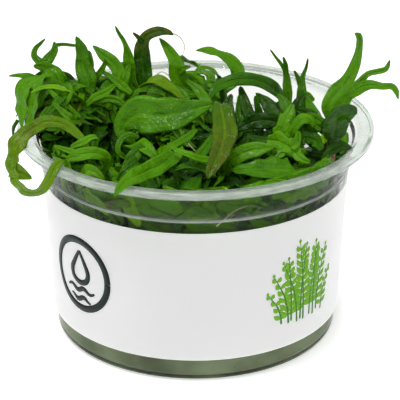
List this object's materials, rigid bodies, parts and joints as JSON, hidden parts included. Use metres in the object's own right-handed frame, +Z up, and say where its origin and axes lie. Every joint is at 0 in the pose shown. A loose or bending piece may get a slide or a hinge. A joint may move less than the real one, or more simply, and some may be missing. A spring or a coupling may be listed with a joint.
{
  "type": "potted aquarium plant in a clear culture cup",
  "caption": "Tangle of wet green aquarium plant shoots, curled, forked and lobed leaves over the rim of a round clear labelled cup with nutrient gel.",
  "frame": {"origin": "centre of the cup's flat underside", "axes": "+Z up along the cup's axis; the label's front faces -Y; +X is to the right seen from the front"},
  "size_m": [0.0859, 0.0816, 0.0725],
  "materials": {
    "cup_plastic": "clear, slightly milky moulded polypropylene",
    "label_film": "smooth satin white label film",
    "gel": "moist translucent nutrient gel",
    "leaf_green": "wet glossy leaf, bright green",
    "leaf_dark": "wet glossy leaf, dark green",
    "leaf_olive": "wet glossy leaf, olive green turning brown",
    "leaf_pale": "wet young leaf, pale yellow-green",
    "stem_green": "wet fleshy stem, green",
    "stem_rusty": "wet fleshy stem, green with a rusty brown stretch"
  },
  "bodies": {
    "root": {"cup": "cup_plastic", "label": "label_film", "nutrient_gel": "gel", "stem_right": "stem_rusty", "stem_feather": "stem_green", "stem_spikes": "stem_green", "stem_middle": "stem_green", "stem_back": "stem_green", "stem_crook": "stem_green", "stem_left_back": "stem_green", "stem_left": "stem_green", "stem_left_front": "stem_green", "stem_front": "stem_green", "stem_right_front": "stem_green", "leaf_tall": "leaf_green", "leaf_antler": "leaf_green", "leaf_curled": "leaf_dark", "leaf_bud": "leaf_pale", "leaf_feather_low": "leaf_green", "leaf_feather_high": "leaf_green", "leaf_feather_arc": "leaf_green", "leaf_raft": "leaf_green", "leaf_spike_right": "leaf_green", "leaf_spike_left": "leaf_green", "leaf_arch_right": "leaf_dark", "leaf_under_arch": "leaf_dark", "leaf_back_tongue": "leaf_green", "leaf_blade_back": "leaf_green", "leaf_fingers_high": "leaf_green", "leaf_fingers_low": "leaf_green", "leaf_rear_left": "leaf_green", "leaf_crook": "leaf_dark", "leaf_needle": "leaf_green", "leaf_arch_left": "leaf_olive", "leaf_rear_middle": "leaf_dark", "leaf_spear": "leaf_green", "leaf_ribbon": "leaf_green", "leaf_roof": "leaf_dark", "leaf_pin": "leaf_pale", "leaf_feather_left": "leaf_green", "leaf_drape": "leaf_green", "leaf_lobe": "leaf_green", "leaf_cross_high": "leaf_green", "leaf_cross_low": "leaf_green", "leaf_rear_right": "leaf_green", "leaf_loop": "leaf_olive", "leaf_fork_high": "leaf_green", "leaf_fork_low": "leaf_green", "leaf_rib": "leaf_pale", "leaf_broad": "leaf_green", "leaf_pointed": "leaf_green", "leaf_over_rim": "leaf_green", "leaf_low_left": "leaf_dark", "leaf_bow_left": "leaf_green", "leaf_bow_right": "leaf_green", "leaf_curl": "leaf_olive", "leaf_strap_left": "leaf_dark", "leaf_strap_right": "leaf_dark", "packed_leaves": "leaf_dark"}
  },
  "joints": []
}
